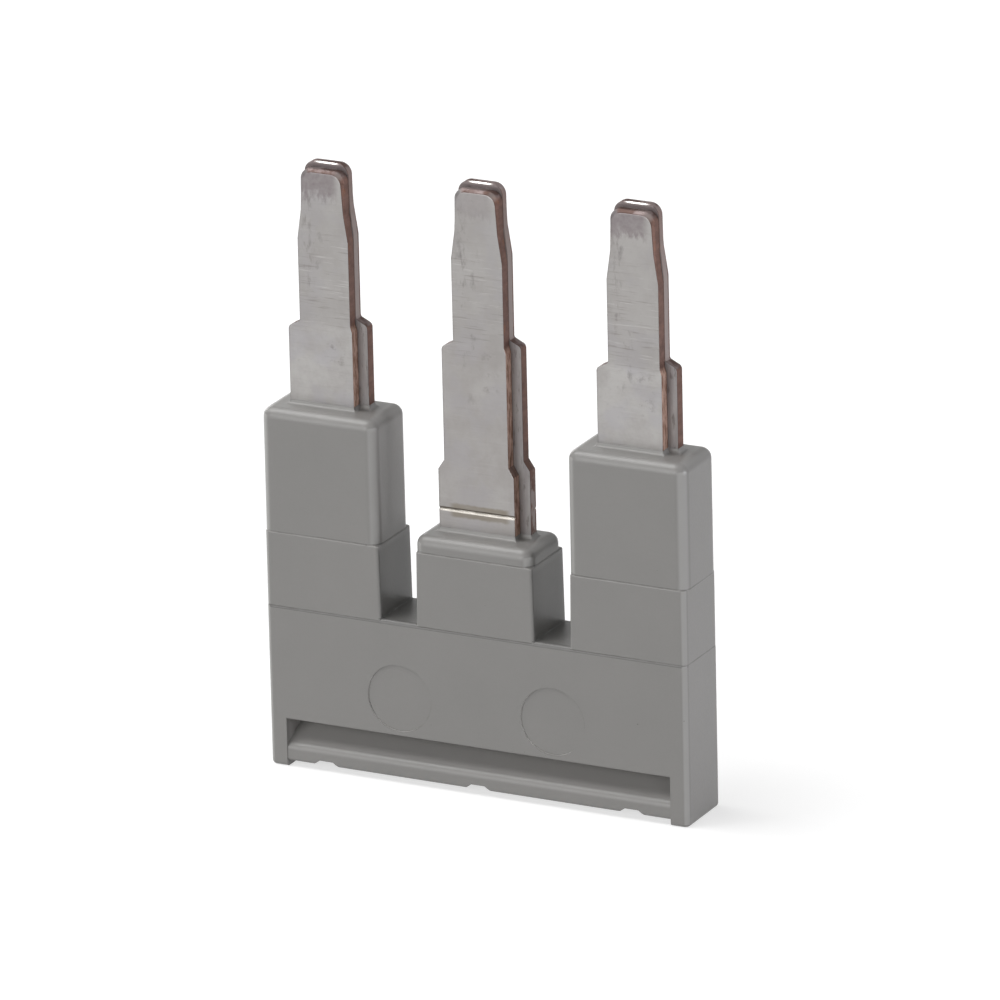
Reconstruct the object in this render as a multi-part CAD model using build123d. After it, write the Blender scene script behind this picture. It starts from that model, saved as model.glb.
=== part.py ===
from build123d import *
from collections import namedtuple
import math
import os

# Plug-in jumper for terminal blocks: two stamped contact combs, back to back, in a moulded housing.
# Millimetres. X runs along the row of poles, the front faces -Y and Z points up. The part stands on its
# two feet at Z = 0, and the origin is at the middle of the footprint.

# Row of poles
pole_count = 3
pitch = 6.2
row_half = pitch * (pole_count - 1) / 2

# Bar, which is the handle, with a foot at each end
bar_depth = 2.67
bar_top = 6.28
bar_end = 2.29                # from the centre of an outer pole to the end of the bar
bar_top_radius = 0.16
end_edge_radius = 0.24
foot_width = 0.71
foot_height = 0.22
foot_edge_radius = 0.15

# Finger groove along the front, above a rounded lip
groove_top = 1.86
groove_depth = 1.40
groove_floor_drop = 0.72      # fall of the sloping floor from the back wall to the lip
groove_back_radius = 0.14
groove_mouth_radius = 0.05
lip_top = 0.84
lip_radius = 0.30
lip_recess = 0.03
lip_edge_radius = 0.12

# Notches in the lower edge that mark the poles
notch_mouth = 1.04
notch_floor = 0.54
notch_height = 0.18

# Round marks that the ejector pins leave
pin_mark_radius = 1.28
pin_mark_height = 3.32
pin_mark_depth = 0.04

# Collars round the blades, in two steps: a square base and a rounder cap above the parting line
base_width = 4.68
base_depth = 2.63
base_top = 9.06
base_edge_radius = 0.12
base_top_radius = 0.06
base_draft = 0.9              # lean in degrees of the base's sides beside the gaps
cap_width = 4.72
cap_depth = 2.60
cap_overhang = 0.04           # how far the outer caps stand out past the ends of the bar
mould_step = 0.055            # the caps sit this far to the left of the bases, where the mould parts
cap_draft = 0.15              # lean in degrees of the cap's sides
cap_edge_radius = 0.42
cap_top_radius = 0.38
long_cap = 4.70               # height of the cap on the outer poles
short_cap = 0.62              # height of the cap on the poles between them
flare_height = 0.16           # the plastic climbs this far up the metal where it leaves a collar
flare_radius = 0.15           # hollow curve from the collar's top up to the metal
flare_lip = 0.012             # thickness left at the upper edge of the flare

# Contact comb, seen on its outer face: each prong is wider to the left of the pole than to the right
leaf = 0.43                   # sheet thickness
rear_comb_lift = 0.19         # the rear comb sits this much higher than the front one
spine_bottom = 3.40
spine_height = 2.00
root_left = 1.74
root_right = 1.30
root_top = 12.05
stem_left = 1.49
stem_right = 1.09
stem_bottom = 12.42
stem_top = 16.73
shoulder_height = 0.23        # slope from the stem to the blade
blade_half = 1.02
taper_start = 20.10           # the tip narrows from here, quickly up to the neck and then slowly
neck_half = 0.90
neck_level = 21.20
tip_half = 0.87
blade_top = 22.76
tip_radius = 0.42
tip_bevel = 0.11              # widest at the top, and it fades out down to the start of the taper
tip_roll = 0.13               # rounding of the top edge on the inner face
shoulder_radius = 0.12
stem_corner_radius = 0.20

# Score across the bare root of a short-collared pole, where the blade can be broken off
score_above_collar = 0.87
score_width = 0.12
score_depth = 0.06

# Derived places
bar_half = row_half + bar_end
foot_inner = bar_half - foot_width
bar_front = -bar_depth / 2
lip_front = bar_front + lip_recess
poles = [index * pitch - row_half for index in range(pole_count)]
inner_poles = poles[1:-1]
gap_centres = [pole + pitch / 2 for pole in poles[:-1]]
short_collar_top = base_top + short_cap
long_collar_top = base_top + long_cap
score_level = short_collar_top + score_above_collar
blade_bottom = stem_top + shoulder_height

# One side of an upright block: its X at the top, how far it leans out at the foot and its edges' radius
Side = namedtuple("Side", "x lean radius")


def round_corner(sketch, x, y, radius):
    """Rounds the corner of a flat outline that lies nearest to the point."""
    corner = sketch.vertices().sort_by_distance((x, y, 0))[0]
    return fillet(corner, radius)


def across(points, front, back):
    """A prism with an outline in X and Z, running from the front to the back."""
    outline = make_face(Polyline(*points, close=True))
    return Pos(0, back, 0) * extrude(Plane.XZ * outline, amount=back - front)


def upright_block(left, right, depth, bottom, top):
    """A block between two sides, with its four upright edges rounded."""
    points = [
        (left.x - left.lean, bottom),
        (right.x + right.lean, bottom),
        (right.x, top),
        (left.x, top),
    ]
    solid = across(points, -depth / 2, depth / 2)
    for side, rank in ((left, 0), (right, -1)):
        face = solid.faces().sort_by(Axis.X)[rank]
        upright = face.edges().filter_by(Axis.Y, reverse=True)
        solid = fillet(upright, side.radius)
    return solid


def bar():
    """The handle bar with its soft upper edges and its two feet."""
    left = Side(-bar_half, 0, end_edge_radius)
    right = Side(bar_half, 0, end_edge_radius)
    solid = upright_block(left, right, bar_depth, 0, bar_top)
    long_edges = solid.edges().filter_by(Axis.X).group_by(Axis.Z)[-1]
    solid = fillet(long_edges, bar_top_radius)
    solid = fillet(solid.faces().sort_by(Axis.Z)[0].edges(), foot_edge_radius)
    feet_gap = Pos(0, 0, foot_height / 2) * Box(2 * foot_inner, 2 * bar_depth, foot_height)
    return solid - feet_gap


def groove():
    """The finger groove: a deep slot with a sloping floor that rises to the back wall."""
    back = bar_front + groove_depth
    floor_back = lip_top + groove_floor_drop
    outline = make_face(Polyline(
        (-bar_depth, groove_top),
        (back, groove_top),
        (back, floor_back),
        (lip_front, lip_top),
        (-bar_depth, lip_top),
        close=True))
    outline = round_corner(outline, back, groove_top, groove_back_radius)
    outline = round_corner(outline, back, floor_back, groove_back_radius)
    slot = Pos(-foot_inner, 0, 0) * extrude(Plane.YZ * outline, amount=2 * foot_inner)
    skim = Pos(0, lip_front - bar_depth / 2, lip_top / 2) * Box(2 * foot_inner, bar_depth, lip_top)
    return slot + skim


def soften_groove(solid):
    """Rounds the lip along its upper and lower front edges, and breaks the edge of the groove's roof."""
    softened = [
        ((0, lip_front, lip_top), lip_radius),
        ((0, lip_front, foot_height), lip_edge_radius),
        ((0, bar_front, groove_top), groove_mouth_radius),
    ]
    for place, radius in softened:
        lengthwise = solid.edges().filter_by(Axis.X)
        solid = fillet(lengthwise.sort_by_distance(place)[0], radius)
    return solid


def pole_notch(pole):
    """The notch in the lower edge under one pole."""
    ceiling = foot_height + notch_height
    points = [
        (pole - notch_mouth / 2, foot_height),
        (pole - notch_floor / 2, ceiling),
        (pole + notch_floor / 2, ceiling),
        (pole + notch_mouth / 2, foot_height),
    ]
    return across(points, -bar_depth, bar_depth)


def pin_mark(x):
    """The shallow round mark of one ejector pin in the front of the bar."""
    place = Plane((x, bar_front + pin_mark_depth, pin_mark_height), z_dir=(0, -1, 0))
    return place * extrude(Circle(pin_mark_radius), amount=bar_depth)


def collar(pole):
    """The two-step collar round one blade. The outer collars end in line with the bar."""
    base_bottom = bar_top - bar_top_radius
    cap_bottom = base_top - base_top_radius
    top = short_collar_top
    metal = (root_left, root_right)
    if pole in (poles[0], poles[-1]):
        top = long_collar_top
        metal = (stem_left, stem_right)
    base_lean = (base_top - base_bottom) * math.tan(math.radians(base_draft))
    cap_lean = (top - cap_bottom) * math.tan(math.radians(cap_draft))
    base_centre = pole + mould_step / 2
    cap_centre = pole - mould_step / 2
    base_left = Side(base_centre - base_width / 2, base_lean, base_edge_radius)
    base_right = Side(base_centre + base_width / 2, base_lean, base_edge_radius)
    cap_left = Side(cap_centre - cap_width / 2, cap_lean, cap_edge_radius)
    cap_right = Side(cap_centre + cap_width / 2, cap_lean, cap_edge_radius)
    if pole == poles[0]:
        base_left = Side(-bar_half, 0, end_edge_radius)
        cap_left = Side(-bar_half - cap_overhang, cap_lean, cap_edge_radius)
    if pole == poles[-1]:
        base_right = Side(bar_half, 0, end_edge_radius)
        cap_right = Side(bar_half + cap_overhang, cap_lean, cap_edge_radius)
    base = upright_block(base_left, base_right, base_depth, base_bottom, base_top)
    base = fillet(base.faces().sort_by(Axis.Z)[-1].edges(), base_top_radius)
    cap = upright_block(cap_left, cap_right, cap_depth, cap_bottom, top)
    cap = fillet(cap.faces().sort_by(Axis.Z)[-1].edges(), cap_top_radius)
    return base + flared_cap(cap, pole, top, *metal)


def flared_cap(cap, pole, top, left, right):
    """The cap with the plastic that climbs the two leaves a little way in a hollow curve."""
    width = left + right
    shift = (right - left) / 2
    front_leaf = Pos(pole + shift, -leaf / 2) * Rectangle(width, leaf)
    rear_leaf = Pos(pole - shift, leaf / 2) * Rectangle(width, leaf)
    outline = offset(front_leaf + rear_leaf, flare_lip, kind=Kind.INTERSECTION)
    flared = cap + Pos(0, 0, top) * extrude(outline, amount=flare_height)
    level_top = flared.faces().filter_by(Axis.Z).sort_by(Axis.Z)[-2]
    return fillet(level_top.inner_wires()[0].edges(), flare_radius)


def prong(pole):
    """The outline of one prong in X and Z, from inside the spine to the start of the tip's taper."""
    outline = make_face(Polyline(
        (-root_left, spine_bottom),
        (-root_left, root_top),
        (-stem_left, stem_bottom),
        (-stem_left, stem_top),
        (-blade_half, blade_bottom),
        (-blade_half, taper_start),
        (blade_half, taper_start),
        (blade_half, blade_bottom),
        (stem_right, stem_top),
        (stem_right, stem_bottom),
        (root_right, root_top),
        (root_right, spine_bottom),
        close=True))
    for x, z in ((-root_left, root_top), (-blade_half, blade_bottom), (root_right, root_top)):
        outline = round_corner(outline, x, z, shoulder_radius)
    outline = round_corner(outline, -stem_left, stem_top, stem_corner_radius)
    return Pos(pole, 0) * outline


def tip_outline(inset):
    """The outline of a tip in X and Z. Its top and corners are drawn in, and its foot stays as it is."""
    neck_share = (neck_level - taper_start) / (blade_top - taper_start)
    neck = neck_half - inset * neck_share
    half = tip_half - inset
    top = blade_top - inset
    outline = make_face(Polyline(
        (-blade_half, taper_start),
        (-neck, neck_level),
        (-half, top),
        (half, top),
        (neck, neck_level),
        (blade_half, taper_start),
        close=True))
    for x in (-half, half):
        outline = round_corner(outline, x, top, tip_radius)
    return outline


def tip():
    """The tapered end of one blade: bevelled round its outer face and rounded over to its inner one."""
    inner = leaf - tip_bevel
    body = extrude(Plane.XZ * tip_outline(0), amount=inner)
    foot = Plane.XZ.offset(inner) * tip_outline(0)
    face = Plane.XZ.offset(leaf) * tip_outline(tip_bevel)
    return (body + loft([foot, face], ruled=True)) & rolled_side()


def rolled_side():
    """A tip seen from the side: as thick as the leaf, with its upper inner corner rounded."""
    height = blade_top - taper_start
    profile = Pos(-leaf / 2, taper_start + height / 2) * Rectangle(leaf, height)
    profile = round_corner(profile, 0, blade_top, tip_roll)
    return Pos(-blade_half, 0, 0) * extrude(Plane.YZ * profile, amount=2 * blade_half)


def comb():
    """One stamped comb with its inner face at Y = 0 and its outer face to the front."""
    left = poles[0] - root_left
    right = poles[-1] + root_right
    middle = Pos((left + right) / 2, spine_bottom + spine_height / 2)
    outline = middle * Rectangle(right - left, spine_height)
    for pole in poles:
        outline += prong(pole)
    solid = extrude(Plane.XZ * outline, amount=leaf)
    for pole in poles:
        solid += Pos(pole, 0, 0) * tip()
    for pole in inner_poles:
        solid -= score(pole)
    return solid


def score(pole):
    """The V-shaped score across the outer face of one prong."""
    outline = make_face(Polyline(
        (-leaf - score_depth, score_level - score_width),
        (-leaf + score_depth, score_level),
        (-leaf - score_depth, score_level + score_width),
        close=True))
    reach = root_left + root_right
    return Pos(pole - reach, 0, 0) * extrude(Plane.YZ * outline, amount=2 * reach)


def housing(combs):
    """The moulding: bar, groove, notches, marks and collars, with room for the combs."""
    solid = bar() - groove()
    solid = soften_groove(solid)
    for pole in poles:
        solid -= pole_notch(pole)
        solid += collar(pole)
    for x in gap_centres:
        solid -= pin_mark(x)
    for piece in combs:
        solid -= piece
    return solid


front_comb = comb()
rear_comb = Pos(0, 0, rear_comb_lift) * Rot(0, 0, 180) * comb()
nodes = {
    "insulating_housing": housing([front_comb, rear_comb]),
    "front_contact_comb": front_comb,
    "rear_contact_comb": rear_comb,
}

os.makedirs("parts", exist_ok=True)
for name, shape in nodes.items():
    solid = shape.solids()[0] if len(shape.solids()) == 1 else shape
    print(name, len(shape.solids()), "solid", round(shape.volume, 3), "mm3")
    export_step(solid, f"parts/{name}.step")
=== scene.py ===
import math

import bpy
from mathutils import Matrix, Vector

# Three-pole jumper for terminal blocks. Blender works in metres, and the measures of the part below are
# in millimetres, as in the part's own source.
MM = 0.001

# Part measures that the materials follow
PITCH = 6.2
BAR_TOP = 6.28
FOOT_LINE = 6.20
GAP = 1.52
BASE_TOP = 9.06
BAR_FRONT = -1.335
GROOVE_TOP = 1.86
GROOVE_END = 7.85
PIN_MARK_HEIGHT = 3.32
PIN_MARK_RADIUS = 1.28
REAR_COMB_LIFT = 0.19
LEAF = 0.43
BLADE_BOTTOM = 16.96
BLADE_TOP = 22.76
ROOT_TOP = 12.05
SCORE_LEVEL = 10.55

# Half a width that takes in one prong and none of its neighbours
PRONG_REACH = 2.0

# Where the marks lie on each prong: columns from its middle line, levels from the feet
SMUDGE_COLUMN = -0.45
SMUDGE_START = 13.0
SMUDGE_FULL = 17.0
STAIN_COLUMN = -0.62
SCRAPE_COLUMN = 0.42
STAIN_LEVEL = 20.2
GRIP_LEVEL = 18.6
SCRAPE_LEVEL = 15.9

# How far edges look broken, and how deep the fine relief of each surface is
PLASTIC_EDGE_BREAK = 0.035
RING_EDGE_BREAK = 0.004
METAL_EDGE_BREAK = 0.06
GRAIN_DEPTH = 0.006
RUB_DEPTH = 0.004

# Camera, fitted to the photograph, in degrees and millimetres
AZIMUTH = 27.052
ELEVATION = 19.145
ROLL = 1.329
DISTANCE = 404.82
AIM_RIGHT = 0.211
AIM_UP = 10.335
LENS = 400.57
SENSOR = 36.0

# Studio. Lengths are in metres.
CAMERA_CLIP = 0.01
FLOOR_RADIUS = 4.0
FLOOR_SIDES = 96
FLOOR_GREY = (0.5, 0.5, 0.5, 1.0)
FLOOR_GLOW = 0.64
WORLD_LIGHT = 0.03
LAMP_DISTANCE = 0.55
LAMP_AIM = 0.011
WHITE = (1.0, 1.0, 1.0)
COOL = (0.99, 0.985, 1.03)

# Each lamp's name, azimuth and elevation in degrees, watts, width, height and tint
LAMPS = (
    ("lamp_front", -15, 12, 1.62, 0.35, 0.35, WHITE),
    ("lamp_right", 92, 6, 1.56, 0.22, 0.2, COOL),
    ("lamp_right_front", 50, 14, 0.3, 0.1, 0.35, WHITE),
    ("lamp_high_left", -70, 60, 2.5, 0.35, 0.35, WHITE),
    ("lamp_back_left", -125, 12, 1.3, 0.35, 0.35, WHITE),
    ("lamp_back_right", 150, 30, 0.2, 0.35, 0.35, WHITE),
)


def srgb(red, green, blue):
    """A colour given as screen values from 0 to 255, as the linear RGBA that shaders take."""
    channels = []
    for value in (red, green, blue):
        share = value / 255
        channels.append(share / 12.92 if share <= 0.04045 else ((share + 0.055) / 1.055) ** 2.4)
    return (*channels, 1.0)


# Plastic
PLASTIC_DEEP = srgb(133, 132, 130)
PLASTIC_PALE = srgb(140, 138, 136)
PLASTIC_GRAIN = srgb(118, 117, 113)
PLASTIC_PAINTED_SHADE = srgb(104, 103, 101)
PLASTIC_GAP_SHADE = srgb(110, 109, 107)
PLASTIC_GROOVE_LIGHT = srgb(157, 155, 153)
PLASTIC_UPRIGHT_HIGHLIGHT = srgb(157, 156, 154)
RING_WALL_LIGHT = srgb(194, 192, 189)
DIRT = srgb(70, 68, 64)
DUST = srgb(84, 82, 78)

# Tin plating
TIN_DEEP = srgb(144, 141, 139)
TIN_PALE = srgb(158, 156, 154)
TIN_MOTTLE = srgb(133, 130, 129)
TIN_COOL = srgb(149, 147, 150)
TIN_BLADE = srgb(136, 133, 131)
TIN_LOW_MIDDLE = srgb(134, 130, 128)
RUB_DARK = srgb(116, 111, 109)
RUB_PALE = srgb(168, 166, 164)
SMUDGE = srgb(100, 96, 96)
STAIN = srgb(108, 103, 102)
SCRAPE = srgb(112, 107, 107)
WORN_TIP = srgb(107, 99, 101)
SCORE_TAN = srgb(120, 113, 102)
SCORE_DARK = srgb(100, 96, 90)
SCORE_HIGHLIGHT = srgb(158, 154, 148)
SCORE_SHADOW = srgb(92, 86, 78)
INSIDE_STREAK = srgb(132, 127, 127)
INSIDE_SCUFF = srgb(92, 84, 82)
NICK = srgb(88, 82, 80)
BURNISHED_AND_HIGHLIGHT = srgb(228, 226, 222)
TIN_SHEEN = srgb(236, 236, 236)

# Bare copper
COPPER_DEEP = srgb(102, 80, 73)
COPPER_PALE = srgb(124, 98, 90)
COPPER_TARNISH = srgb(82, 64, 58)
COPPER_WARM = srgb(132, 92, 70)
LEDGE_DARK = srgb(86, 70, 66)
LEDGE_PALE = srgb(132, 121, 120)
# The front comb's torn copper tones are lightened as painted light against the crevice's shade
FRONT_SHEAR_DARK_WITH_PAINTED_LIGHT = srgb(146, 114, 99)
FRONT_SHEAR_PALE_WITH_PAINTED_LIGHT = srgb(214, 182, 166)
REAR_SHEAR_DARK = srgb(120, 92, 80)
REAR_SHEAR_PALE = srgb(166, 136, 122)
TIN_SMEAR = srgb(162, 153, 151)
COPPER_RIM = srgb(66, 51, 46)
TIP_EDGE = srgb(104, 93, 92)
COPPER_SHEEN = srgb(120, 108, 104)


class Shader:
    """A node material, with one short call for each kind of node. Lengths are in millimetres."""

    def __init__(self, name):
        self.material = bpy.data.materials.new(name)
        self.material.use_nodes = True
        self.tree = self.material.node_tree
        self.tree.nodes.clear()
        self.output = self.node("ShaderNodeOutputMaterial")

    def node(self, kind, **settings):
        made = self.tree.nodes.new(kind)
        for key, value in settings.items():
            setattr(made, key, value)
        return made

    def feed(self, socket, value):
        if isinstance(value, bpy.types.NodeSocket):
            self.tree.links.new(value, socket)
        elif value is not None:
            socket.default_value = value

    def calc(self, operation, first, second=None, third=None):
        made = self.node("ShaderNodeMath", operation=operation)
        for socket, value in zip(made.inputs, (first, second, third)):
            self.feed(socket, value)
        return made.outputs[0]

    def joined(self, operation, values):
        """All values taken together, two by two, with one operation."""
        result = values[0]
        for value in values[1:]:
            result = self.calc(operation, result, value)
        return result

    def product(self, *values):
        return self.joined("MULTIPLY", values)

    def total(self, *values):
        return self.joined("ADD", values)

    def largest(self, *values):
        return self.joined("MAXIMUM", values)

    def inverse(self, value):
        """1 where the value is 0, and 0 where it is 1."""
        return self.calc("SUBTRACT", 1.0, value)

    def rise(self, value, start, end):
        """0 up to start and 1 from end on, with a soft step between. end may be below start."""
        made = self.node("ShaderNodeMapRange", interpolation_type="SMOOTHSTEP")
        low, high = (start, end) if start < end else (end, start)
        self.feed(made.inputs["Value"], value)
        made.inputs["From Min"].default_value = low
        made.inputs["From Max"].default_value = high
        made.inputs["To Min"].default_value = 0.0 if start < end else 1.0
        made.inputs["To Max"].default_value = 1.0 if start < end else 0.0
        return made.outputs[0]

    def scaled(self, value, low, high):
        """A 0 to 1 value brought to the range from low to high."""
        made = self.node("ShaderNodeMapRange")
        self.feed(made.inputs["Value"], value)
        made.inputs["To Min"].default_value = low
        made.inputs["To Max"].default_value = high
        return made.outputs[0]

    def band(self, value, centre, half, soft):
        """1 within half of the centre, falling to 0 over soft."""
        distance = self.calc("ABSOLUTE", self.calc("SUBTRACT", value, centre))
        return self.rise(distance, half + soft, half)

    def noise(self, place, scale, detail=2.0, roughness=0.5, stretch=(1, 1, 1), shift=(0, 0, 0)):
        """Cloud noise from 0 to 1. scale counts features per millimetre."""
        mapping = self.node("ShaderNodeMapping")
        self.feed(mapping.inputs["Vector"], place)
        mapping.inputs["Scale"].default_value = stretch
        mapping.inputs["Location"].default_value = shift
        made = self.node("ShaderNodeTexNoise")
        self.feed(made.inputs["Vector"], mapping.outputs[0])
        made.inputs["Scale"].default_value = scale
        made.inputs["Detail"].default_value = detail
        made.inputs["Roughness"].default_value = roughness
        return made.outputs["Fac"]

    def specks(self, place, scale, size, share, shift=(0, 0, 0)):
        """Scattered dots: in each cell of a grid of scale per millimetre, a share of cells has one."""
        mapping = self.node("ShaderNodeMapping")
        self.feed(mapping.inputs["Vector"], place)
        mapping.inputs["Location"].default_value = shift
        made = self.node("ShaderNodeTexVoronoi", feature="F1")
        self.feed(made.inputs["Vector"], mapping.outputs[0])
        made.inputs["Scale"].default_value = scale
        near = self.rise(made.outputs["Distance"], size, size * 0.5)
        split = self.node("ShaderNodeSeparateColor")
        self.feed(split.inputs[0], made.outputs["Color"])
        return self.product(near, self.calc("LESS_THAN", split.outputs[0], share))

    def mix(self, factor, first, second):
        made = self.node("ShaderNodeMix", data_type="RGBA")
        self.feed(made.inputs[0], factor)
        self.feed(made.inputs[6], first)
        self.feed(made.inputs[7], second)
        return made.outputs[2]

    def place(self):
        """Object coordinates in millimetres, whole and as X, Y and Z."""
        source = self.node("ShaderNodeTexCoord")
        scale = self.node("ShaderNodeVectorMath", operation="SCALE")
        self.feed(scale.inputs[0], source.outputs["Object"])
        scale.inputs["Scale"].default_value = 1 / MM
        return scale.outputs[0], *self.split(scale.outputs[0])

    def split(self, vector):
        parts = self.node("ShaderNodeSeparateXYZ")
        self.feed(parts.inputs[0], vector)
        return tuple(parts.outputs)

    def surface(self, **inputs):
        """The principled surface, which ends the material."""
        made = self.node("ShaderNodeBsdfPrincipled")
        for name, value in inputs.items():
            self.feed(made.inputs[name.replace("_", " ")], value)
        self.tree.links.new(made.outputs[0], self.output.inputs["Surface"])
        return self.material

    def relief(self, height, depth, soft_edge):
        """A normal with fine relief, over edges that look broken by soft_edge metres.

        A height from 0 to 1 stands for depth.
        """
        bevel = self.node("ShaderNodeBevel", samples=8)
        self.feed(bevel.inputs["Radius"], soft_edge)
        bump = self.node("ShaderNodeBump")
        bump.inputs["Distance"].default_value = depth * MM
        bump.inputs["Strength"].default_value = 1.0
        self.feed(bump.inputs["Height"], height)
        self.feed(bump.inputs["Normal"], bevel.outputs[0])
        return bump.outputs[0]


def housing_plastic():
    """Mid-grey satin moulding: fine grain, faint clouds, dark specks and dirt in the mould's lines."""
    s = Shader("housing_plastic")
    place, x, y, z = s.place()
    off_middle = s.calc("ABSOLUTE", x)

    clouds = s.noise(place, 0.35, 3.0)
    grain = s.noise(place, 9.0, 4.0, 0.6)
    fine = s.noise(place, 28.0, 2.0, 0.6)
    colour = s.mix(clouds, PLASTIC_DEEP, PLASTIC_PALE)
    colour = s.mix(s.scaled(grain, 0.0, 0.16), colour, PLASTIC_GRAIN)

    # Broken lines of dirt where the mould's parts met, at each collar's foot and under its cap
    ragged = s.scaled(s.noise(place, 1.1, 3.0, 0.6), -0.03, 0.03)
    height = s.total(z, ragged)
    broken = s.rise(s.noise(place, 0.9, 4.0, 0.65), 0.35, 0.65)
    cap_line = s.product(s.band(height, BASE_TOP, 0.014, 0.025), s.scaled(broken, 0.35, 0.9))
    in_gap = s.band(off_middle, PITCH / 2, GAP / 2, 0.02)
    outside_gap = s.inverse(in_gap)
    foot_line = s.product(s.band(height, FOOT_LINE, 0.012, 0.025), s.scaled(broken, 0.4, 1.0), outside_gap)

    # Painted shade darkens the bar's top edge beside the collars' feet, and its whole rounding in the gaps
    facing = s.node("ShaderNodeTexCoord")
    side_way, front_way, up_way = s.split(facing.outputs["Normal"])
    shade = s.largest(s.band(z, FOOT_LINE - 0.035, 0.035, 0.02),
                      s.product(in_gap, s.rise(z, BAR_TOP - 0.20, BAR_TOP - 0.10)))
    shade = s.product(shade, s.rise(y, BAR_FRONT + 0.25, BAR_FRONT + 0.15),
                      s.rise(z, BAR_TOP + 0.03, BAR_TOP + 0.01))
    colour = s.mix(shade, colour, PLASTIC_PAINTED_SHADE)

    # Painted shade darkens the walls and floor of the gaps
    gap_wall_shade = s.product(s.band(off_middle, PITCH / 2, GAP / 2 + 0.08, 0.02),
                          s.rise(z, BAR_TOP - 0.06, BAR_TOP - 0.02), s.rise(z, BASE_TOP, BASE_TOP - 0.3),
                          s.rise(s.calc("ABSOLUTE", front_way), 0.8, 0.4))
    colour = s.mix(s.product(gap_wall_shade, 0.7), colour, PLASTIC_GAP_SHADE)

    # A painted highlight makes the upright rounded edges paler, except next to a gap
    next_to_gap = s.product(s.rise(z, BAR_TOP - 0.06, BAR_TOP), s.rise(z, BASE_TOP, BASE_TOP - 0.1),
                            s.rise(off_middle, PITCH, PITCH - 0.5))
    upright_highlight = s.product(s.rise(s.calc("ABSOLUTE", side_way), 0.15, 0.5),
                             s.rise(s.calc("ABSOLUTE", front_way), 0.15, 0.5),
                             s.rise(s.calc("ABSOLUTE", up_way), 0.4, 0.2),
                             s.inverse(next_to_gap))
    colour = s.mix(upright_highlight, colour, PLASTIC_UPRIGHT_HIGHLIGHT)

    # Painted light makes the inside of the finger groove paler
    in_groove = s.product(s.rise(y, BAR_FRONT + 0.1, BAR_FRONT + 0.3), s.rise(y, 0.3, 0.1),
                          s.rise(off_middle, GROOVE_END + 0.02, GROOVE_END - 0.02),
                          s.rise(z, GROOVE_TOP + 0.2, GROOVE_TOP + 0.1))
    colour = s.mix(s.product(in_groove, 0.8), colour, PLASTIC_GROOVE_LIGHT)

    # Grit lies along the lines of dirt
    near_line = s.largest(s.band(height, BASE_TOP - 0.01, 0.03, 0.05),
                          s.band(height, FOOT_LINE, 0.03, 0.05))
    grit = s.product(s.specks(place, 2.2, 0.16, 0.3, shift=(0.4, 0.9, 0.2)), near_line)
    lines = s.largest(cap_line, foot_line, grit)

    # The edge of each ejector mark holds dirt along parts of its ring
    from_pin = s.calc("SUBTRACT", off_middle, PITCH / 2)
    above_pin = s.calc("SUBTRACT", z, PIN_MARK_HEIGHT)
    squares = s.total(s.product(from_pin, from_pin), s.product(above_pin, above_pin))
    from_centre = s.calc("SQRT", squares)
    ring = s.band(from_centre, PIN_MARK_RADIUS, 0.012, 0.03)
    patchy = s.rise(s.noise(place, 0.9, 4.0, 0.65, shift=(3.1, 0, 7.7)), 0.42, 0.62)
    front = s.calc("LESS_THAN", y, BAR_FRONT + 0.1)
    ring = s.product(ring, patchy, front)
    near_ring = s.product(s.band(from_centre, PIN_MARK_RADIUS, 0.08, 0.04), front)
    # Painted light makes the wall of each ejector mark's ring paler than its shade
    colour = s.mix(s.product(near_ring, s.rise(front_way, -0.8, -0.4)), colour, RING_WALL_LIGHT)
    lines = s.largest(lines, s.product(ring, 0.4))
    colour = s.mix(s.product(lines, 0.6), colour, DIRT)

    # Loose specks of dust and darker granules in the plastic
    dust = s.specks(place, 1.1, 0.04, 0.3)
    granules = s.specks(place, 2.6, 0.045, 0.05, shift=(5.3, 1.7, 2.9))
    marks = s.largest(dust, granules)
    colour = s.mix(s.product(marks, 0.6), colour, DUST)

    roughness = s.total(s.scaled(grain, 0.28, 0.40), s.product(clouds, 0.04))
    relief = s.total(s.product(grain, 0.55), s.product(fine, 0.45))
    edge_break = s.scaled(near_ring, PLASTIC_EDGE_BREAK * MM, RING_EDGE_BREAK * MM)
    normal = s.relief(relief, GRAIN_DEPTH, edge_break)
    return s.surface(Base_Color=colour, Roughness=roughness, Normal=normal, Specular_IOR_Level=0.42)


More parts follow.
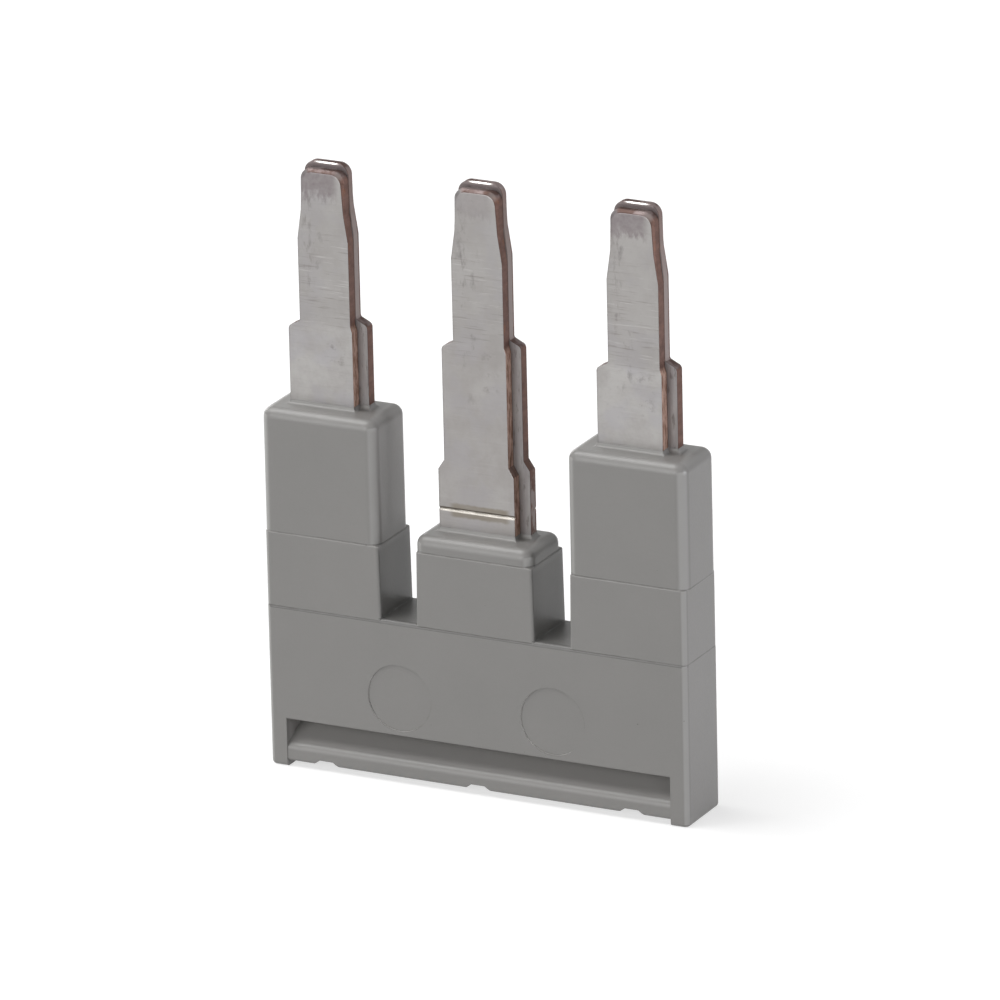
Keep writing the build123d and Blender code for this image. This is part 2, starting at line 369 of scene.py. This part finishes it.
def tinned_copper(rear):
    """Dull tin with wear on its faces, and bare brown copper on the cut edges.

    Both combs are one stamping. The rear one is turned half a turn and lifted, so its place is turned
    back first and the same marks fall on its own outer face.
    """
    s = Shader("tinned_copper_rear" if rear else "tinned_copper_front")
    turned = s.node("ShaderNodeMapping", vector_type="POINT")
    s.feed(turned.inputs["Vector"], s.place()[0])
    if rear:
        turned.inputs["Rotation"].default_value = (0, 0, math.pi)
        turned.inputs["Location"].default_value = (0, 0, -REAR_COMB_LIFT)
    place = turned.outputs[0]
    x, y, z = s.split(place)
    pole_x = s.calc("WRAP", x, PITCH / 2, -PITCH / 2)

    # Faces are tinned; the cut edges are not
    turn = -1.0 if rear else 1.0
    facing = s.node("ShaderNodeTexCoord")
    side_way, face_way, up_way = s.split(facing.outputs["Normal"])
    side_way = s.product(side_way, turn)
    face_way = s.product(face_way, turn)
    flat = s.rise(s.calc("ABSOLUTE", face_way), 0.74, 0.86)
    left_bevel = s.product(s.rise(face_way, -0.4, -0.6), s.rise(side_way, -0.15, -0.35))
    middle_pole = s.band(x, 0.0, PRONG_REACH, 0.01)
    outer_skin = s.product(s.rise(y, 0.09 - LEAF, 0.07 - LEAF),
                           s.rise(s.calc("ABSOLUTE", side_way), 0.6, 0.4), middle_pole)
    at_score = s.product(s.band(z, SCORE_LEVEL, 0.075, 0.012), outer_skin)
    at_top = s.rise(z, BLADE_TOP - 0.26, BLADE_TOP - 0.18)
    at_corner = s.product(s.rise(s.calc("ABSOLUTE", pole_x), 0.5, 0.62),
                          s.rise(z, BLADE_TOP - 1.3, BLADE_TOP - 0.8))
    tip_inside = s.product(s.rise(face_way, 0.1, 0.4), s.largest(at_top, at_corner))
    # A narrow band of the tips' rolled top edges, chosen by normal angle: burnished tin and a painted
    # highlight
    burnish_and_highlight = s.product(s.band(face_way, 0.66, 0.12, 0.12), s.band(pole_x, 0.0, 0.25, 0.3), at_top)
    flat = s.largest(flat, left_bevel, at_score, burnish_and_highlight)

    # Tin: cloudy and mottled, with cooler patches
    clouds = s.noise(place, 0.8, 4.0, 0.6)
    mottle = s.noise(place, 5.0, 3.0, 0.6)
    tin = s.mix(s.rise(clouds, 0.3, 0.7), TIN_DEEP, TIN_PALE)
    tin = s.mix(s.product(s.rise(mottle, 0.5, 0.8), 0.22), tin, TIN_MOTTLE)
    cool = s.noise(place, 0.6, 3.0, 0.6, shift=(8, 2, 3))
    tin = s.mix(s.product(s.rise(cool, 0.46, 0.62), 0.5), tin, TIN_COOL)

    # The blades and the lower part of the middle prong are a little darker than the rest
    on_blade = s.rise(z, BLADE_BOTTOM - 0.2, BLADE_BOTTOM + 0.1)
    tin = s.mix(s.product(on_blade, 0.45), tin, TIN_BLADE)
    low_middle = s.product(middle_pole, s.inverse(on_blade))
    tin = s.mix(s.product(low_middle, 0.35), tin, TIN_LOW_MIDDLE)

    # Fine rub marks across the blade, where terminals grip it
    grip = s.band(z, GRIP_LEVEL, 1.3, 1.2)
    rubs = s.noise(place, 1.0, 4.0, 0.6, stretch=(0.7, 1, 14.0))
    dark_rubs = s.product(s.rise(rubs, 0.56, 0.72), s.scaled(grip, 0.12, 0.62))
    pale_rubs = s.product(s.rise(rubs, 0.40, 0.30), s.scaled(grip, 0.10, 0.50))
    tin = s.mix(dark_rubs, tin, RUB_DARK)
    tin = s.mix(pale_rubs, tin, RUB_PALE)

    # Grey smudges, mostly in a column left of the middle
    column = s.band(pole_x, SMUDGE_COLUMN, 0.12, 0.5)
    blots = s.noise(place, 1.5, 4.0, 0.62, stretch=(1.3, 1, 0.8), shift=(1.3, 0, 0.4))
    blots = s.product(s.rise(blots, 0.58, 0.74), s.scaled(column, 0.08, 0.6))
    blots = s.product(blots, s.rise(z, SMUDGE_START, SMUDGE_FULL))
    tin = s.mix(blots, tin, SMUDGE)

    # Stains along the blade's left edge, and scrapes below its shoulder on the right
    stains = s.noise(place, 2.2, 4.0, 0.65, stretch=(1.6, 1, 0.7), shift=(0.6, 0, 2.1))
    stains = s.product(s.rise(stains, 0.50, 0.66), s.band(pole_x, STAIN_COLUMN, 0.05, 0.28),
                       s.band(z, STAIN_LEVEL, 1.6, 0.8))
    tin = s.mix(s.product(stains, 0.55), tin, STAIN)
    scrapes = s.noise(place, 1.9, 4.0, 0.68, stretch=(1.3, 1, 1.5), shift=(2.2, 0, 5.4))
    scrapes = s.product(s.rise(scrapes, 0.54, 0.68), s.band(pole_x, SCRAPE_COLUMN, 0.1, 0.4),
                        s.band(z, SCRAPE_LEVEL, 0.4, 0.7))
    tin = s.mix(s.product(scrapes, 0.6), tin, SCRAPE)

    # The last part of the tip is worn to a dark purplish grey, with a ragged lower end
    ragged = s.noise(place, 2.6, 4.0, 0.7, stretch=(1.6, 1, 0.6))
    worn_height = s.total(z, s.scaled(ragged, -0.9, 0.9))
    worn = s.product(s.rise(worn_height, BLADE_TOP - 1.2, BLADE_TOP - 0.75), s.scaled(mottle, 0.3, 1.0))
    worn = s.product(worn, s.rise(pole_x, 0.75, 0.4), s.scaled(s.band(x, 0.0, 1.2, 0.2), 1.0, 0.45))
    tin = s.mix(worn, tin, WORN_TIP)

    # Burnished tan bands beside the score of the middle blade
    wavy = s.total(z, s.scaled(s.noise(place, 2.5, 3.0, 0.6), -0.07, 0.07))
    scored = s.product(s.band(x, -0.1, 1.0, 0.3), s.band(wavy, SCORE_LEVEL, 0.2, 0.1), outer_skin)
    scored = s.product(scored, s.scaled(s.noise(place, 1.8, 3.0, 0.6, stretch=(0.6, 1, 3)), 0.35, 1.2))
    tin = s.mix(scored, tin, SCORE_TAN)
    # The score gets a painted highlight, broken in stretches, and a painted shadow line just above it
    broken = s.rise(s.noise(place, 3.0, 3.0, 0.6, stretch=(0.5, 1, 4)), 0.35, 0.6)
    tin = s.mix(s.product(at_score, 0.95), tin, s.mix(broken, SCORE_DARK, SCORE_HIGHLIGHT))
    score_shadow_line = s.product(s.band(z, SCORE_LEVEL + 0.055, 0.018, 0.02), outer_skin)
    tin = s.mix(s.product(score_shadow_line, 0.85), tin, SCORE_SHADOW)

    # The faces between the two leaves are streaked and scuffed
    inside_face = s.rise(face_way, 0.6, 0.8)
    drawn = s.noise(place, 4.0, 3.0, 0.6, stretch=(1, 1, 0.08), shift=(2, 0, 5))
    tin = s.mix(s.product(inside_face, s.scaled(s.rise(drawn, 0.35, 0.65), 0.2, 0.95)), tin, INSIDE_STREAK)
    scuffs = s.noise(place, 3.4, 3.0, 0.6, stretch=(2.4, 1, 0.5), shift=(7, 0, 1))
    tin = s.mix(s.product(inside_face, s.rise(scuffs, 0.54, 0.66), 0.6), tin, INSIDE_SCUFF)

    # Dark nicks and crumbs, few and small
    nicks = s.product(s.specks(place, 1.3, 0.05, 0.25),
                      s.specks(place, 0.9, 0.4, 0.5, shift=(0.7, 0.2, 0.5)))
    tin = s.mix(s.product(nicks, 0.6), tin, NICK)

    # Copper: brown and streaked, with tarnish, warm patches and duller upper ledges
    streaks = s.noise(place, 3.2, 4.0, 0.65, stretch=(1, 0.6, 1.4))
    copper = s.mix(s.rise(streaks, 0.3, 0.7), COPPER_DEEP, COPPER_PALE)
    dark = s.noise(place, 1.3, 3.0, 0.6, shift=(2, 5, 1))
    copper = s.mix(s.product(s.rise(dark, 0.55, 0.75), 0.6), copper, COPPER_TARNISH)
    warm = s.noise(place, 2.1, 3.0, 0.6, shift=(4, 1, 8))
    copper = s.mix(s.product(s.rise(warm, 0.58, 0.72), 0.5), copper, COPPER_WARM)
    ledge = s.mix(s.rise(dark, 0.42, 0.58), LEDGE_DARK, LEDGE_PALE)
    copper = s.mix(s.product(s.rise(up_way, 0.3, 0.7), 0.85), copper, ledge)

    # Torn copper on the right-hand sides below the blades, lightened on the front comb as painted light
    sheared = s.product(s.rise(side_way, 0.6, 0.8), s.rise(z, BLADE_BOTTOM + 0.1, BLADE_BOTTOM - 0.2))
    torn = s.rise(s.noise(place, 4.0, 4.0, 0.65, stretch=(1, 2.2, 0.5), shift=(1, 4, 2)), 0.36, 0.62)
    if rear:
        torn_tones_and_light = s.mix(torn, REAR_SHEAR_DARK, REAR_SHEAR_PALE)
    else:
        torn_tones_and_light = s.mix(torn, FRONT_SHEAR_DARK_WITH_PAINTED_LIGHT, FRONT_SHEAR_PALE_WITH_PAINTED_LIGHT)
    sheared = s.product(sheared, s.rise(up_way, 0.6, 0.3), 0.85)
    copper = s.mix(sheared, copper, torn_tones_and_light)

    # Tin drawn over the left-hand sides, and darker rims along both faces of the sheet
    drawn_side = s.rise(side_way, -0.6, -0.8)
    inside = s.band(y, -LEAF / 2 + 0.02, 0.12, 0.08)
    lower_down = s.scaled(s.rise(z, BLADE_TOP - 0.2, BLADE_TOP - 3.2), 0.4, 0.85)
    smear = s.product(on_blade, drawn_side, inside, lower_down)
    patchy = s.rise(s.noise(place, 2.4, 3.0, 0.6, stretch=(1, 1, 0.6), shift=(6, 0, 3)), 0.42, 0.56)
    root_smear = s.product(s.rise(z, ROOT_TOP + 0.1, ROOT_TOP - 0.1), drawn_side, inside, patchy, 0.8)
    copper = s.mix(s.largest(smear, root_smear), copper, TIN_SMEAR)
    rims = s.largest(s.band(y, 0.0, 0.012, 0.03), s.band(y, -LEAF, 0.008, 0.03))
    copper = s.mix(s.product(rims, 0.55), copper, COPPER_RIM)

    # Both together, with the darker insides of the tips and burnished tops that are partly a painted
    # highlight
    colour = s.mix(flat, copper, tin)
    colour = s.mix(s.product(tip_inside, 0.85), colour, TIP_EDGE)
    colour = s.mix(burnish_and_highlight, colour, BURNISHED_AND_HIGHLIGHT)
    tin_rough = s.total(s.scaled(mottle, 0.30, 0.40), s.product(worn, 0.12))
    tin_rough = s.total(tin_rough, s.product(inside_face, 0.2))
    copper_rough = s.scaled(streaks, 0.42, 0.58)
    bare = s.inverse(flat)
    roughness = s.total(s.product(flat, tin_rough), s.product(bare, copper_rough))
    roughness = s.calc("SUBTRACT", roughness, s.product(burnish_and_highlight, 0.2))
    metallic = s.calc("SUBTRACT", s.scaled(flat, 0.5, 1.0), s.product(inside_face, 0.5))
    edge_tint = s.mix(flat, COPPER_SHEEN, TIN_SHEEN)
    relief = s.total(s.product(mottle, 0.4), s.product(rubs, 0.6))
    bump = s.relief(relief, RUB_DEPTH, METAL_EDGE_BREAK * MM)
    return s.surface(Base_Color=colour, Roughness=roughness, Metallic=metallic, Specular_Tint=edge_tint,
                     Normal=bump)


def pale_ground():
    """Floor that shows white to the camera and in reflections, and still keeps the part's shadow."""
    s = Shader("floor_pale")
    path = s.node("ShaderNodeLightPath")
    seen = s.largest(path.outputs["Is Camera Ray"], path.outputs["Is Glossy Ray"],
                     path.outputs["Is Transmission Ray"])
    matt = s.node("ShaderNodeBsdfDiffuse")
    matt.inputs["Color"].default_value = FLOOR_GREY
    glow = s.node("ShaderNodeEmission")
    s.feed(glow.inputs["Strength"], s.product(seen, FLOOR_GLOW))
    total = s.node("ShaderNodeAddShader")
    s.tree.links.new(matt.outputs[0], total.inputs[0])
    s.tree.links.new(glow.outputs[0], total.inputs[1])
    s.tree.links.new(total.outputs[0], s.output.inputs["Surface"])
    return s.material


def floor():
    """A wide round floor under the feet, which fades into the white surroundings."""
    mesh = bpy.data.meshes.new("floor")
    rim = []
    for i in range(FLOOR_SIDES):
        turn = 2 * math.pi * i / FLOOR_SIDES
        rim.append((FLOOR_RADIUS * math.cos(turn), FLOOR_RADIUS * math.sin(turn), 0.0))
    mesh.from_pydata(rim, [], [list(range(FLOOR_SIDES))])
    ground = bpy.data.objects.new("floor", mesh)
    bpy.context.scene.collection.objects.link(ground)
    ground.data.materials.append(pale_ground())


def surroundings():
    """White for the camera and reflections, and a plain even light for everything else."""
    world = bpy.data.worlds.new("studio")
    world.use_nodes = True
    bpy.context.scene.world = world
    tree = world.node_tree
    tree.nodes.clear()
    path = tree.nodes.new("ShaderNodeLightPath")
    seen = tree.nodes.new("ShaderNodeMath")
    seen.operation = "MAXIMUM"
    tree.links.new(path.outputs["Is Camera Ray"], seen.inputs[0])
    tree.links.new(path.outputs["Is Glossy Ray"], seen.inputs[1])
    seen_through = tree.nodes.new("ShaderNodeMath")
    seen_through.operation = "MAXIMUM"
    tree.links.new(seen.outputs[0], seen_through.inputs[0])
    tree.links.new(path.outputs["Is Transmission Ray"], seen_through.inputs[1])
    strength = tree.nodes.new("ShaderNodeMapRange")
    tree.links.new(seen_through.outputs[0], strength.inputs["Value"])
    strength.inputs["To Min"].default_value = WORLD_LIGHT
    strength.inputs["To Max"].default_value = 1.0
    glow = tree.nodes.new("ShaderNodeBackground")
    tree.links.new(strength.outputs[0], glow.inputs["Strength"])
    out = tree.nodes.new("ShaderNodeOutputWorld")
    tree.links.new(glow.outputs[0], out.inputs["Surface"])


def softbox(name, azimuth, elevation, watts, wide, high, tint):
    """A soft lamp that faces the middle of the part, from a direction in degrees."""
    lamp = bpy.data.lights.new(name, "AREA")
    lamp.shape = "RECTANGLE"
    lamp.size = wide
    lamp.size_y = high
    lamp.energy = watts
    lamp.color = tint
    box = bpy.data.objects.new(name, lamp)
    bpy.context.scene.collection.objects.link(box)
    away = direction(azimuth, elevation)
    box.location = away * LAMP_DISTANCE + Vector((0, 0, LAMP_AIM))
    box.rotation_euler = (-away).to_track_quat("-Z", "Y").to_euler()
    box.visible_camera = False


def direction(azimuth, elevation):
    """The way from the part to a camera or lamp: azimuth 0 is the front and 90 the right."""
    turn = math.radians(azimuth)
    lift = math.radians(elevation)
    return Vector((math.sin(turn) * math.cos(lift), -math.cos(turn) * math.cos(lift), math.sin(lift)))


def camera():
    """The photograph's view."""
    roll = math.radians(ROLL)
    back = direction(AZIMUTH, ELEVATION)
    level = direction(AZIMUTH + 90, 0)
    upright = back.cross(level)
    right = level * math.cos(roll) - upright * math.sin(roll)
    up = level * math.sin(roll) + upright * math.cos(roll)
    place = back * DISTANCE + right * AIM_RIGHT + up * AIM_UP
    lens = bpy.data.cameras.new("camera")
    lens.lens = LENS
    lens.sensor_width = SENSOR
    lens.clip_start = CAMERA_CLIP
    eye = bpy.data.objects.new("camera", lens)
    bpy.context.scene.collection.objects.link(eye)
    turn = Matrix((right, up, back)).transposed().to_4x4()
    eye.matrix_world = Matrix.Translation(place * MM) @ turn
    bpy.context.scene.camera = eye


def finish_node(node, material):
    """Gives a CAD node its finished material."""
    if not node.material_slots:
        node.data.materials.append(None)
    for material_slot in node.material_slots:
        material_slot.material = material


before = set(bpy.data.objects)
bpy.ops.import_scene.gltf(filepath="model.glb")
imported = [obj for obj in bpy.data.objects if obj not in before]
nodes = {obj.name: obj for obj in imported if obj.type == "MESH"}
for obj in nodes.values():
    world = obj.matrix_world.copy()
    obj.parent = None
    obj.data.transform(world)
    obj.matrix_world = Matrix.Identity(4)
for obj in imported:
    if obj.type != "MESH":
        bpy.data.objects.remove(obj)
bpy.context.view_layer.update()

finish_node(nodes["insulating_housing"], housing_plastic())
finish_node(nodes["front_contact_comb"], tinned_copper(rear=False))
finish_node(nodes["rear_contact_comb"], tinned_copper(rear=True))

floor()
surroundings()
for lamp in LAMPS:
    softbox(*lamp)
camera()

scene = bpy.context.scene
scene.view_settings.view_transform = "Standard"
